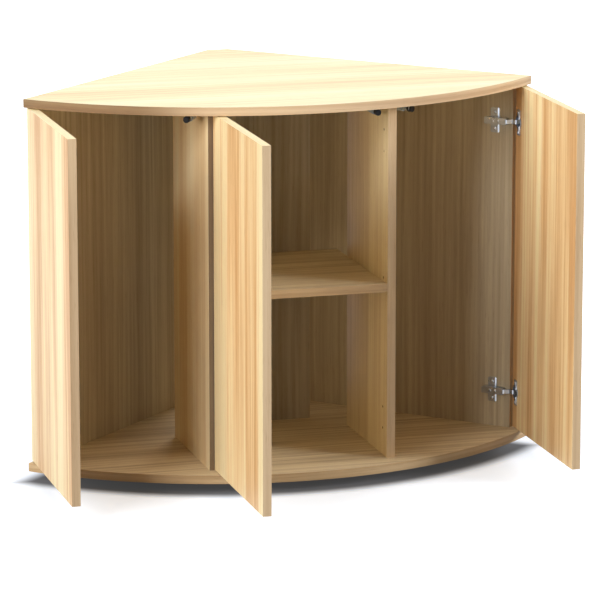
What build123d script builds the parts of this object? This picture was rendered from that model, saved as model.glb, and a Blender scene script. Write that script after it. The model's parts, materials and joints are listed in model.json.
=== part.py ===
from build123d import *

import os
from math import asin, atan2, cos, degrees, hypot, radians, sin, sqrt

# Corner aquarium cabinet: a quarter-round flat-pack cupboard of light laminated board.
# Two boards along the room's walls, two dividers and a rear support panel carry the top plate.
# Three flat doors on concealed cup hinges close the bowed front.  They are modelled standing
# open, all square to the room's corner-to-corner front line, with the push latches pressed in.
# Millimetres.  X right, Y towards the corner of the room, Z up.  The origin is on the floor,
# under the middle foot, halfway between the two front corners of the plates.

# ---------------------------------------------------------------- driving dimensions
# Carcass
half_width = 492.5          # middle to each front corner of the plates
front_bow = 208.0           # front curve, measured out from the line between the corners
corner_cut = 20.5           # half the width of the cut-off rear corner
board = 16.0                # every board
carcass_height = 706.0      # underside of the base plate to the top
band_thickness = 1.0        # edge banding on the curved front edges

# Boards along the room's walls
wall_setback = 30.0         # from a plate's front corner, along its straight edge
wall_length = 509.0

# Dividers, rear support panel and shelf
divider_gap = 328.0         # clear width between the dividers
divider_front = -145.0      # Y of the front edges
divider_depth = 265.0
rear_panel_width = 218.0
rear_panel_front = 189.0    # Y of its front face
shelf_rise = 335.0          # top of the base plate to the top of the shelf
shelf_play = 0.5            # beside and behind the shelf

# Doors
middle_door_width = 339.0
side_door_inset = 9.5       # front corner to a side door's outer face while it stands open
side_door_lap = 5.2         # closed door past the divider's outer front corner
side_door_edge = 13.0       # Y of its hinge edge while it stands open
door_play = 2.0             # above and below a door
middle_door_offset = 169.5  # closed hinge edge, left of the middle
divider_play = 3.6          # divider edge to the closed middle door
side_door_play = 2.5        # divider corner to a closed side door

# Concealed hinges
hinge_rise = 264.5          # above and below mid-height of the doors
pin_from_edge = 7.5         # pin to the door's hinge edge
pin_depth = 7.0             # pin below the door's inner face
cup_radius = 13.0
cup_depth = 10.5
cup_wall = 0.8
cup_from_pin = 8.5          # centre of the cup, along the door
cup_play = 0.1              # cup in its bore
flange_radius = 14.6
flange_length = 50.0
flange_width = 16.0
flange_thickness = 1.0
flange_shift = 2.0          # wings set towards the free side
cup_screw_pitch = 38.0
pin_radius = 1.25
pin_length = 17.0
pin_play = 0.05
eye_radius = 2.2
eye_height = 8.0
ear_gap = 0.6               # eye to each ear, along the pin
ear_width = 5.0
neck_reach = 12.8           # crank of the arm past the pin
neck_rise = 9.5
neck_thickness = 3.4
neck_bend = 2.5
arm_width = 13.0
arm_front = 9.0             # along the board, from its front edge
arm_rear = 55.0
arm_lift = 3.0              # arm's underside above the board
arm_depth = 10.0
arm_sheet = 1.6
plate_centre = 37.0         # screws of the mounting plate, from the board's front edge
plate_thickness = 2.2
plate_length = 48.0
plate_width = 18.0
plate_screw_pitch = 32.0
plate_lip = 1.4
block_length = 30.0
block_play = 0.2
arm_screw_radius = 1.6
arm_screw_head = 2.8
arm_screw_rise = 1.0
arm_screw_length = 6.0
arm_screw_spread = 11.0     # adjusting screw in front of the fixing screw

# Push latches
latch_drop = 14.5           # axis below the top plate
side_latch_inset = 46.0     # from a side door's free edge
middle_latch_inset = 26.0
latch_clearance = 0.4       # pressed-in tip to the closed door
tip_radius = 6.0
tip_length = 5.0
tip_grip = 3.0              # rod inside the tip
rod_radius = 3.6
rod_length = 42.0
rod_show = 3.0              # rod between the tip and its cartridge
rod_play = 0.06
cartridge_radius = 5.0
cartridge_length = 53.0
cartridge_end = 3.0
collar_radius = 6.2
collar_length = 3.0
holder_radius = 7.0
holder_start = 24.0         # from the tip's face
holder_length = 28.0
holder_plate = 2.5
holder_plate_length = 14.0
holder_plate_width = 34.0
holder_web = 5.0
holder_screw_pitch = 24.0
spring_wire = 0.4           # radius
spring_radius = 2.8
spring_turns = 4
spring_play = 0.2

# Feet
foot_height = 20.0
foot_radius = 24.0
foot_sole_radius = 20.0
foot_peg_radius = 4.0
foot_peg_length = 10.0
foot_inset = 34.0           # outer feet, in from the straight edges
outer_foot_setback = 110.0
divider_foot_front = -85.0
divider_foot_rear = 60.0
rear_foot_y = 415.0

# Fasteners and bores
dowel_radius = 4.0
dowel_length = 30.0
dowel_in_plate = 12.0
cam_radius = 7.4
cam_depth = 12.4
cam_from_end = 34.0
cam_slot_play = 0.3
cam_recess = 1.4
bolt_radius = 3.0
bolt_in_plate = 11.0
base_screw_radius = 3.5
base_screw_length = 50.0
base_screw_head = 5.0
wood_screw_radius = 1.75
wood_screw_length = 11.0
wood_screw_head = 3.4
wood_screw_rise = 2.0
bore_play = 0.05
shelf_pin_radius = 2.5
shelf_pin_depth = 10.0
shelf_pin_inset = 40.0      # from the front and rear edges of a divider
shelf_pin_stub = 8.0
shelf_pin_stub_radius = 3.5
row_hole_radius = 2.5
row_hole_depth = 11.0
row_hole_inset = 27.0       # from the divider's front edge
row_hole_pitch = 41.0       # the spare hinge holes of one pair
row_hole_lift = 6.0         # the odd hole above the shelf

# ---------------------------------------------------------------- worked-out places
base_under = foot_height
base_top = base_under + board
top_under = base_under + carcass_height - board
bow_radius = (half_width**2 + front_bow**2) / (2 * front_bow)
bow_centre = bow_radius - front_bow
divider_x = divider_gap / 2 + board / 2
divider_rear = divider_front + divider_depth
shelf_top = base_top + shelf_rise
shelf_pin_places = (divider_front + shelf_pin_inset, divider_rear - shelf_pin_inset)
shelf_pin_z = shelf_top - board - shelf_pin_stub_radius
door_height = top_under - base_top - 2 * door_play
mid_height = (base_top + top_under) / 2
hinge_heights = (mid_height - hinge_rise, mid_height + hinge_rise)
pin_from_face = board - pin_depth
latch_z = top_under - latch_drop
cartridge_start = tip_length + rod_show
rod_start = tip_length - tip_grip
spring_start = rod_start + rod_length
spring_end = cartridge_start + cartridge_length - cartridge_end


def leg_point(side, along, inward):
    """A plan point on a straight edge: along it from the front corner, and in from it."""
    return (side * (half_width - (along + inward) / sqrt(2)), (along - inward) / sqrt(2))


def plus(point, *moves):
    """A plan point moved by (distance, direction) pairs."""
    x, y = point
    for distance, (dx, dy) in moves:
        x += distance * dx
        y += distance * dy
    return (x, y)


def on_face(point, run, out, height):
    """A plane on an upright face: x along the board, z out of the face."""
    return Plane(origin=(*point, height), x_dir=(*run, 0), z_dir=(*out, 0))


class DoorLayout:
    """Where one door, its hinges and its latch stand."""

    def __init__(self, name, side, width, pivot, closed_turn, board_corner, board_run,
                 latch_inset):
        self.name = name
        self.width = width
        self.pivot = pivot
        self.inward = (-side, 0)                     # inner face's normal, door open
        self.along = (0, -1)                         # hinge edge to free edge, door open
        turn = radians(closed_turn)
        self.shut_along = (-side * cos(turn), -sin(turn))
        self.shut_inward = (-side * sin(turn), cos(turn))
        self.board_corner = board_corner             # front corner of the board's inner face
        self.board_run = board_run
        self.board_out = (-side * board_run[1], side * board_run[0])
        reach = width - pin_from_edge - latch_inset
        self.latch_tip = plus(pivot, (reach, self.shut_along),
                              (pin_depth + latch_clearance, self.shut_inward))

    def cup_plane(self, height):
        """On the open door's inner face, at the middle of a hinge cup."""
        spot = plus(self.pivot, (cup_from_pin, self.along), (pin_depth, self.inward))
        return on_face(spot, self.along, self.inward, height)

    def board_plane(self, run, height):
        """On the face that carries the hinges, this far behind the board's front edge."""
        spot = plus(self.board_corner, (run, self.board_run))
        return on_face(spot, self.board_run, self.board_out, height)

    def latch_plane(self, reach):
        """Square to the latch's axis, this far behind its pressed-in tip; x is up."""
        spot = plus(self.latch_tip, (reach, self.shut_inward))
        return Plane(origin=(*spot, latch_z), x_dir=(0, 0, 1), z_dir=(*self.shut_inward, 0))

    def latch_screw_spots(self):
        """Plan places of the two screws that hold the latch's holder."""
        middle = holder_start + holder_length / 2
        return [plus(self.latch_tip, (middle, self.shut_inward),
                     (half * holder_screw_pitch / 2, self.shut_along)) for half in (-1, 1)]


side_pivot = (half_width - side_door_inset - pin_from_face, side_door_edge - pin_from_edge)
middle_pivot = (pin_from_edge - middle_door_offset, divider_front - divider_play - pin_depth)
to_corner = (side_pivot[0] - divider_x - board / 2, side_pivot[1] - divider_front)
side_door_width = pin_from_edge + hypot(*to_corner) + side_door_lap
side_closed_turn = degrees(atan2(to_corner[1], to_corner[0])
                           + asin((pin_depth + side_door_play) / hypot(*to_corner)))


def side_layout(name, side):
    """The layout of the left or right door, which hangs on the board along the wall."""
    return DoorLayout(name, side, side_door_width, (side * side_pivot[0], side_pivot[1]),
                      side_closed_turn, leg_point(side, wall_setback, board),
                      (-side / sqrt(2), 1 / sqrt(2)), side_latch_inset)


left_layout = side_layout("left", -1)
right_layout = side_layout("right", 1)
middle_layout = DoorLayout("middle", -1, middle_door_width, middle_pivot, 0,
                           (-divider_gap / 2, divider_front), (0, 1), middle_latch_inset)
layouts = (left_layout, middle_layout, right_layout)


class Upright:
    """A standing board: the places of its dowels and cam bolts, and where its cams face."""

    def __init__(self, dowels, bolts, outlook):
        self.dowels = dowels
        self.bolts = bolts
        self.outlook = outlook

    def cam_planes(self):
        """The faces of the cams: x level, y up, z out of the board."""
        for spot in self.bolts:
            face = plus(spot, (board / 2, self.outlook))
            yield on_face(face, (-self.outlook[1], self.outlook[0]), self.outlook,
                          top_under - cam_from_end)


def wall_upright(side):
    """The fastener places of the left or right wall."""
    runs = [wall_setback + wall_length * share for share in (0.1, 0.2, 0.5, 0.8, 0.9)]
    spots = [leg_point(side, run, board / 2) for run in runs]
    return Upright(spots[0::2], spots[1::2], (side / sqrt(2), 1 / sqrt(2)))


def divider_upright(side):
    """The fastener places of the left or right divider."""
    spots = [(side * divider_x, divider_front + divider_depth * share)
             for share in (0.15, 0.3, 0.7, 0.85)]
    return Upright(spots[0::3], spots[1:3], (1, 0))


rear_spots = [(rear_panel_width * share, rear_panel_front + board / 2)
              for share in (-0.38, -0.18, 0.18, 0.38)]
uprights = {
    "left_wall": wall_upright(-1),
    "right_wall": wall_upright(1),
    "left_divider": divider_upright(-1),
    "right_divider": divider_upright(1),
    "rear_panel": Upright(rear_spots[0::3], rear_spots[1:3], (0, 1)),
}
dowel_spots = [spot for upright in uprights.values() for spot in upright.dowels]
bolt_spots = [spot for upright in uprights.values() for spot in upright.bolts]
latch_screw_spots = [spot for layout in layouts for spot in layout.latch_screw_spots()]
foot_spots = [(0, 0), (0, rear_foot_y)]
for foot_side in (-1, 1):
    foot_spots.append(leg_point(foot_side, outer_foot_setback, foot_inset))
    foot_spots.append((foot_side * divider_x, divider_foot_front))
    foot_spots.append((foot_side * divider_x, divider_foot_rear))

finished = []


def finish(part, label):
    """Name a finished sub-part and keep it for export."""
    part.label = label
    finished.append(part)


def round_bars(spots, radius, low, high, mode=Mode.ADD):
    """Upright round bars, or bores, at plan places between two heights."""
    with BuildSketch(Plane.XY.offset(low)) as rounds:
        with Locations(*spots):
            Circle(radius)
    extrude(rounds.sketch, amount=high - low, mode=mode)


def screw(seat, length, head=wood_screw_head, rise=wood_screw_rise, radius=wood_screw_radius):
    """A pan-head screw: its head rises from the plane and its shank goes below."""
    with BuildSketch(seat) as head_sketch:
        Circle(head)
    extrude(head_sketch.sketch, amount=rise)
    with BuildSketch(seat) as shank_sketch:
        Circle(radius)
    extrude(shank_sketch.sketch, amount=-length)


# ---------------------------------------------------------------- plates and their banding
def plate_outline(low):
    """A whole plate's outline: bowed front, two straight edges and the cut-off corner."""
    with BuildSketch(Plane.XY.offset(low)) as outline:
        with BuildLine():
            ThreePointArc((-half_width, 0), (0, -front_bow), (half_width, 0))
            Polyline((half_width, 0), (corner_cut, half_width - corner_cut),
                     (-corner_cut, half_width - corner_cut), (-half_width, 0))
        make_face()
    return outline.sketch


def cut_at_band(low, mode):
    """Keep, or cut away, what lies within the banded front edge."""
    round_bars([(0, bow_centre)], bow_radius - band_thickness, low, low + board, mode)


with BuildPart() as top_plate:
    extrude(plate_outline(top_under), amount=board)
    cut_at_band(top_under, Mode.INTERSECT)
    round_bars(dowel_spots, dowel_radius + bore_play, top_under, top_under + dowel_in_plate,
               Mode.SUBTRACT)
    round_bars(bolt_spots, bolt_radius + bore_play, top_under, top_under + bolt_in_plate,
               Mode.SUBTRACT)
    round_bars(latch_screw_spots, wood_screw_radius + bore_play, top_under,
               top_under + wood_screw_length - holder_plate, Mode.SUBTRACT)
finish(top_plate.part, "top_plate")

with BuildPart() as base_plate:
    extrude(plate_outline(base_under), amount=board)
    cut_at_band(base_under, Mode.INTERSECT)
    round_bars(dowel_spots, dowel_radius + bore_play, base_top - dowel_in_plate, base_top,
               Mode.SUBTRACT)
    with Locations(*[Location((*spot, base_under), (180, 0, 0)) for spot in bolt_spots]):
        CounterSinkHole(base_screw_radius + bore_play, base_screw_head + bore_play,
                        depth=board, counter_sink_angle=90)
    round_bars(foot_spots, foot_peg_radius + bore_play, base_under,
               base_under + foot_peg_length, Mode.SUBTRACT)
finish(base_plate.part, "base_plate")

for plate_name, plate_low in (("top", top_under), ("base", base_under)):
    with BuildPart() as edge_band:
        extrude(plate_outline(plate_low), amount=board)
        cut_at_band(plate_low, Mode.SUBTRACT)
    finish(edge_band.part, f"{plate_name}_edge_band")


# ---------------------------------------------------------------- standing boards
def stand_board(outline, upright):
    """Raise a board between the plates and bore it for its fittings."""
    extrude(outline, amount=top_under - base_top)
    dowel_in_board = dowel_length - dowel_in_plate
    for low in (base_top, top_under - dowel_in_board):
        round_bars(upright.dowels, dowel_radius + bore_play, low, low + dowel_in_board,
                   Mode.SUBTRACT)
    round_bars(upright.bolts, bolt_radius + bore_play, top_under - cam_from_end, top_under,
               Mode.SUBTRACT)
    round_bars(upright.bolts, base_screw_radius + bore_play, base_top,
               base_under + base_screw_length, Mode.SUBTRACT)
    for plane in upright.cam_planes():
        with BuildSketch(plane) as cam:
            Circle(cam_radius + bore_play)
        extrude(cam.sketch, amount=-cam_depth - bore_play, mode=Mode.SUBTRACT)


def hinge_screw_holes(layout):
    """Pilot holes of the mounting plates in the board that carries the hinges."""
    for height in hinge_heights:
        with BuildSketch(layout.board_plane(plate_centre, height)) as pilots:
            with GridLocations(0, plate_screw_pitch, 1, 2):
                Circle(wood_screw_radius + bore_play)
        extrude(pilots.sketch, amount=plate_thickness - wood_screw_length, mode=Mode.SUBTRACT)


for wall_side, wall_layout in ((-1, left_layout), (1, right_layout)):
    wall_name = f"{wall_layout.name}_wall"
    wall_end = wall_setback + wall_length
    with BuildSketch(Plane.XY.offset(base_top)) as wall_outline:
        with BuildLine():
            Polyline(leg_point(wall_side, wall_setback, 0), leg_point(wall_side, wall_end, 0),
                     leg_point(wall_side, wall_end, board),
                     leg_point(wall_side, wall_setback, board), close=True)
        make_face()
    with BuildPart() as wall:
        stand_board(wall_outline.sketch, uprights[wall_name])
        hinge_screw_holes(wall_layout)
    finish(wall.part, wall_name)


def divider_face(side):
    """The face of a divider towards the middle compartment: x is the cabinet's Y, y is up."""
    return Plane(origin=(side * divider_gap / 2, 0, 0), x_dir=(0, -side, 0), z_dir=(-side, 0, 0))


def face_spot(side, y, z):
    """A place on that face."""
    return (-side * y, z)


for divider_side, divider_name in ((-1, "left_divider"), (1, "right_divider")):
    with BuildSketch(Plane.XY.offset(base_top)) as divider_outline:
        with Locations((divider_side * divider_x, divider_front + divider_depth / 2)):
            Rectangle(board, divider_depth)
    row_heights = [shelf_top + row_hole_lift]
    if divider_side > 0:
        row_heights += [height + half * row_hole_pitch / 2
                        for height in hinge_heights for half in (-1, 1)]
    with BuildPart() as divider:
        stand_board(divider_outline.sketch, uprights[divider_name])
        if divider_side < 0:
            hinge_screw_holes(middle_layout)
        with BuildSketch(divider_face(divider_side)):
            with Locations(*[face_spot(divider_side, divider_front + row_hole_inset, height)
                             for height in row_heights]):
                Circle(row_hole_radius)
        extrude(amount=-row_hole_depth, mode=Mode.SUBTRACT)
        with BuildSketch(divider_face(divider_side)):
            with Locations(*[face_spot(divider_side, y, shelf_pin_z) for y in shelf_pin_places]):
                Circle(shelf_pin_radius + bore_play)
        extrude(amount=-shelf_pin_depth, mode=Mode.SUBTRACT)
    finish(divider.part, divider_name)

with BuildSketch(Plane.XY.offset(base_top)) as rear_outline:
    with Locations((0, rear_panel_front + board / 2)):
        Rectangle(rear_panel_width, board)
with BuildPart() as rear_panel:
    stand_board(rear_outline.sketch, uprights["rear_panel"])
finish(rear_panel.part, "rear_panel")

# ---------------------------------------------------------------- shelf and its pins
with BuildPart() as shelf:
    shelf_depth = rear_panel_front - shelf_play - divider_front
    with BuildSketch(Plane.XY.offset(shelf_top - board)):
        with Locations((0, divider_front + shelf_depth / 2)):
            Rectangle(divider_gap - 2 * shelf_play, shelf_depth)
    extrude(amount=board)
finish(shelf.part, "shelf")

with BuildPart() as shelf_pins:
    for pin_side in (-1, 1):
        pin_spots = [face_spot(pin_side, y, shelf_pin_z) for y in shelf_pin_places]
        with BuildSketch(divider_face(pin_side)):
            with Locations(*pin_spots):
                Circle(shelf_pin_radius)
        extrude(amount=-shelf_pin_depth)
        with BuildSketch(divider_face(pin_side)):
            with Locations(*pin_spots):
                Circle(shelf_pin_stub_radius)
        extrude(amount=shelf_pin_stub)
finish(shelf_pins.part, "shelf_pins")


# ---------------------------------------------------------------- doors and hinges
def make_door(layout):
    """A flat door with the bores for its two hinge cups."""
    middle = plus(layout.pivot, (layout.width / 2 - pin_from_edge, layout.along),
                  (pin_depth, layout.inward))
    with BuildPart() as door:
        with BuildSketch(on_face(middle, layout.along, layout.inward, mid_height)):
            Rectangle(layout.width, door_height)
        extrude(amount=-board)
        for height in hinge_heights:
            with BuildSketch(layout.cup_plane(height)):
                Circle(cup_radius + cup_play)
            extrude(amount=-cup_depth - cup_play, mode=Mode.SUBTRACT)
            with BuildSketch(layout.cup_plane(height)):
                with Locations((flange_shift, 0)):
                    with GridLocations(0, cup_screw_pitch, 1, 2):
                        Circle(wood_screw_radius + bore_play)
            extrude(amount=flange_thickness - wood_screw_length, mode=Mode.SUBTRACT)
    return door.part


def make_cup(layout, height):
    """A drawn cup with its screwed flange, and two ears that carry the pin."""
    plane = layout.cup_plane(height)
    mouth = cup_radius - cup_wall
    floor = cup_wall - cup_depth
    with BuildPart() as cup:
        with BuildSketch(plane.offset(-cup_depth)):
            Circle(cup_radius)
        extrude(amount=cup_depth)
        with BuildSketch(plane):
            Circle(flange_radius)
            with Locations((flange_shift, 0)):
                RectangleRounded(flange_width, flange_length, 3)
                with GridLocations(0, cup_screw_pitch, 1, 2):
                    Circle(wood_screw_radius + bore_play, mode=Mode.SUBTRACT)
        extrude(amount=flange_thickness)
        with BuildSketch(plane.offset(floor)):
            Circle(mouth)
        extrude(amount=flange_thickness - floor, mode=Mode.SUBTRACT)
        with BuildSketch(plane.offset(floor)):
            with Locations((-cup_from_pin, 0)):
                Rectangle(ear_width, 2 * mouth)
                Rectangle(2 * ear_width, eye_height + 2 * ear_gap, mode=Mode.SUBTRACT)
            Circle(mouth + cup_wall / 2, mode=Mode.INTERSECT)
        extrude(amount=ear_width / 2 - pin_depth - floor)
        with BuildSketch(Plane(origin=(*layout.pivot, height))):
            Circle(pin_radius + pin_play)
        extrude(amount=pin_length / 2, both=True, mode=Mode.SUBTRACT)
    return cup.part


def make_arm(layout, height):
    """A cranked hinge arm: eye on the pin, neck round the door's edge, channel on its block."""
    crank = plus(layout.pivot, (neck_reach, layout.shut_along))
    turn = plus(crank, (neck_rise, layout.shut_inward))
    lift = arm_lift + arm_depth - neck_thickness / 2
    seat = plus(layout.board_corner, (arm_front, layout.board_run), (lift, layout.board_out))
    root = plus(seat, (2 * neck_thickness, layout.board_run))
    channel = layout.board_plane((arm_front + arm_rear) / 2, height)
    with BuildPart() as arm:
        with BuildSketch(Plane.XY.offset(height)):
            with BuildLine():
                FilletPolyline(layout.pivot, crank, turn, seat, root, radius=neck_bend)
            trace(line_width=neck_thickness)
            with Locations(layout.pivot):
                Circle(eye_radius)
        extrude(amount=eye_height / 2, both=True)
        with BuildSketch(channel.offset(arm_lift)):
            RectangleRounded(arm_rear - arm_front, arm_width, 2)
        extrude(amount=arm_depth)
        with BuildSketch(channel.offset(arm_lift)):
            with Locations((2 * neck_thickness, 0)):
                Rectangle(arm_rear - arm_front, arm_width - 2 * arm_sheet)
        extrude(amount=arm_depth - arm_sheet, mode=Mode.SUBTRACT)
        with BuildSketch(layout.board_plane(plate_centre, height)):
            Circle(arm_screw_radius + bore_play)
            with Locations((-arm_screw_spread, 0)):
                Circle(arm_screw_radius + bore_play)
        extrude(amount=arm_lift + arm_depth, mode=Mode.SUBTRACT)
        with BuildSketch(Plane.XY.offset(height)):
            with Locations(layout.pivot):
                Circle(pin_radius + pin_play)
        extrude(amount=eye_height, both=True, mode=Mode.SUBTRACT)
    return arm.part


def make_mounting_plate(layout, height):
    """A cross-shaped mounting plate with the block that the arm's channel fits over."""
    plane = layout.board_plane(plate_centre, height)
    block_top = arm_lift + arm_depth - arm_sheet - block_play
    with BuildPart() as plate:
        with BuildSketch(plane):
            RectangleRounded(plate_width, plate_length, 3)
            RectangleRounded(block_length + plate_lip, arm_width, 3)
            with GridLocations(0, plate_screw_pitch, 1, 2):
                Circle(wood_screw_radius + bore_play, mode=Mode.SUBTRACT)
        extrude(amount=plate_thickness)
        with BuildSketch(plane.offset(plate_thickness)):
            with Locations(((plate_lip - plate_width) / 2, 0)):
                Rectangle(plate_lip, plate_length - plate_width / 3)
                Rectangle(plate_lip, arm_width + plate_lip, mode=Mode.SUBTRACT)
        extrude(amount=plate_lip)
        with BuildSketch(plane.offset(plate_thickness)):
            RectangleRounded(block_length, arm_width - 2 * (arm_sheet + block_play), 1)
        extrude(amount=block_top - plate_thickness)
        with BuildSketch(plane.offset(block_top)):
            Circle(arm_screw_radius + bore_play)
            with Locations((-arm_screw_spread, 0)):
                Circle(arm_screw_radius + bore_play)
        extrude(amount=arm_sheet + block_play - arm_screw_length, mode=Mode.SUBTRACT)
    return plate.part


for layout in layouts:
    finish(make_door(layout), f"{layout.name}_door")
    for height, level in zip(hinge_heights, ("lower", "upper")):
        finish(make_cup(layout, height), f"{layout.name}_{level}_hinge_cup")
        finish(make_arm(layout, height), f"{layout.name}_{level}_hinge_arm")
        finish(make_mounting_plate(layout, height), f"{layout.name}_{level}_hinge_plate")
    with BuildPart() as hinge_pins:
        for height in hinge_heights:
            round_bars([layout.pivot], pin_radius, height - pin_length / 2,
                       height + pin_length / 2)
    finish(hinge_pins.part, f"{layout.name}_hinge_pins")
    with BuildPart() as cup_screws:
        for height in hinge_heights:
            flange = layout.cup_plane(height).offset(flange_thickness)
            for half in (-1, 1):
                spot = flange.from_local_coords((flange_shift, half * cup_screw_pitch / 2))
                screw(Plane(origin=spot, z_dir=flange.z_dir), wood_screw_length)
    finish(cup_screws.part, f"{layout.name}_cup_screws")

with BuildPart() as hinge_plate_screws:
    for layout in layouts:
        for height in hinge_heights:
            for half in (-1, 1):
                level = height + half * plate_screw_pitch / 2
                seat = layout.board_plane(plate_centre, level).offset(plate_thickness)
                screw(seat, wood_screw_length)
finish(hinge_plate_screws.part, "hinge_plate_screws")

with BuildPart() as hinge_arm_screws:
    for layout in layouts:
        for height in hinge_heights:
            for run in (plate_centre, plate_centre - arm_screw_spread):
                seat = layout.board_plane(run, height).offset(arm_lift + arm_depth)
                screw(seat, arm_screw_length, arm_screw_head, arm_screw_rise, arm_screw_radius)
finish(hinge_arm_screws.part, "hinge_arm_screws")

# ---------------------------------------------------------------- push latches
for layout in layouts:
    with BuildPart() as tip:
        with BuildSketch(layout.latch_plane(0)):
            Circle(tip_radius)
        extrude(amount=tip_length)
        chamfer(tip.edges().filter_by(GeomType.CIRCLE), tip_radius / 10)
        with BuildSketch(layout.latch_plane(rod_start)):
            Circle(rod_radius)
        extrude(amount=tip_length, mode=Mode.SUBTRACT)
    finish(tip.part, f"{layout.name}_latch_tip")
    with BuildPart() as plunger:
        with BuildSketch(layout.latch_plane(rod_start)):
            Circle(rod_radius)
        extrude(amount=rod_length)
    finish(plunger.part, f"{layout.name}_latch_plunger")
    with BuildPart() as cartridge:
        with BuildSketch(layout.latch_plane(cartridge_start)):
            Circle(cartridge_radius)
        extrude(amount=cartridge_length)
        with BuildSketch(layout.latch_plane(cartridge_start)):
            Circle(collar_radius)
        extrude(amount=collar_length)
        with BuildSketch(layout.latch_plane(cartridge_start)):
            Circle(rod_radius + rod_play)
        extrude(amount=cartridge_length - cartridge_end, mode=Mode.SUBTRACT)
    finish(cartridge.part, f"{layout.name}_latch_cartridge")
    with BuildPart() as holder:
        with BuildSketch(layout.latch_plane(holder_start)):
            Circle(holder_radius)
            with Locations((latch_drop / 2, 0)):
                Rectangle(latch_drop, holder_web)
        extrude(amount=holder_length)
        with BuildSketch(layout.latch_plane(holder_start + holder_length / 2)):
            with Locations((latch_drop - holder_plate / 2, 0)):
                Rectangle(holder_plate, holder_plate_width)
        extrude(amount=holder_plate_length / 2, both=True)
        with BuildSketch(layout.latch_plane(holder_start)):
            Circle(cartridge_radius + bore_play)
        extrude(amount=holder_length, mode=Mode.SUBTRACT)
        round_bars(layout.latch_screw_spots(), wood_screw_radius + bore_play,
                   top_under - holder_plate, top_under, Mode.SUBTRACT)
    finish(holder.part, f"{layout.name}_latch_holder")

with BuildPart() as latch_screws:
    for spot in latch_screw_spots:
        screw(Plane(origin=(*spot, top_under - holder_plate), z_dir=(0, 0, -1)), wood_screw_length)
finish(latch_screws.part, "latch_screws")

with BuildPart() as latch_springs:
    coil_inset = spring_wire + spring_play
    coil_height = spring_end - spring_start - 2 * coil_inset
    for layout in layouts:
        coil_plane = layout.latch_plane(spring_start + coil_inset)
        with BuildLine() as coil:
            Helix(coil_height / spring_turns, coil_height, spring_radius,
                  center=coil_plane.origin, direction=coil_plane.z_dir)
        with BuildSketch(Plane(origin=coil.line @ 0, z_dir=coil.line % 0)) as wire:
            Circle(spring_wire)
        sweep(wire.sketch, path=coil.line)
finish(latch_springs.part, "latch_springs")

# ---------------------------------------------------------------- feet
with BuildPart() as feet:
    with Locations(*[(*spot, foot_height / 2) for spot in foot_spots]):
        Cone(foot_sole_radius, foot_radius, foot_height)
    round_bars(foot_spots, foot_peg_radius, foot_height, foot_height + foot_peg_length)
finish(feet.part, "feet")

# ---------------------------------------------------------------- knock-down fittings
with BuildPart() as dowels:
    for low in (base_top - dowel_in_plate, top_under + dowel_in_plate - dowel_length):
        round_bars(dowel_spots, dowel_radius, low, low + dowel_length)
finish(dowels.part, "dowels")

with BuildPart() as cam_locks:
    for upright in uprights.values():
        for plane in upright.cam_planes():
            with BuildSketch(plane):
                Circle(cam_radius)
            extrude(amount=-cam_depth)
            with BuildSketch(plane.offset(bolt_radius + cam_slot_play - board / 2)):
                with Locations((0, cam_radius / 2)):
                    Rectangle(2 * (bolt_radius + cam_slot_play), cam_radius + 2 * cam_recess)
            extrude(amount=-cam_depth, mode=Mode.SUBTRACT)
            with BuildSketch(plane):
                Rectangle(cam_radius, cam_recess)
                Rectangle(cam_recess, cam_radius)
            extrude(amount=-cam_recess, mode=Mode.SUBTRACT)
finish(cam_locks.part, "cam_locks")

with BuildPart() as cam_bolts:
    round_bars(bolt_spots, bolt_radius, top_under - cam_from_end, top_under + bolt_in_plate)
finish(cam_bolts.part, "cam_bolts")

with BuildPart() as base_screws:
    with BuildSketch(Plane.XY.offset(base_under)):
        with Locations(*bolt_spots):
            Circle(base_screw_head)
    extrude(amount=base_screw_head - base_screw_radius, taper=45)
    round_bars(bolt_spots, base_screw_radius, base_under, base_under + base_screw_length)
finish(base_screws.part, "base_screws")

# ---------------------------------------------------------------- files
os.makedirs("parts", exist_ok=True)
for part in finished:
    export_step(part, f"parts/{part.label}.step")
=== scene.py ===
# %% [markdown]
# # A corner aquarium cabinet
#
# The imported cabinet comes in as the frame: every board, hinge and fitting already stands at its real
# size and place, in metres, with the origin on the floor. This script dresses it and never moves a
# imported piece. Where a piece needs a softer edge or a finer shape, a new mesh stands in for it.

# %% Load the cabinet
import json
from math import pi, radians, sqrt

import bpy
from mathutils import Matrix, Vector


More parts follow.
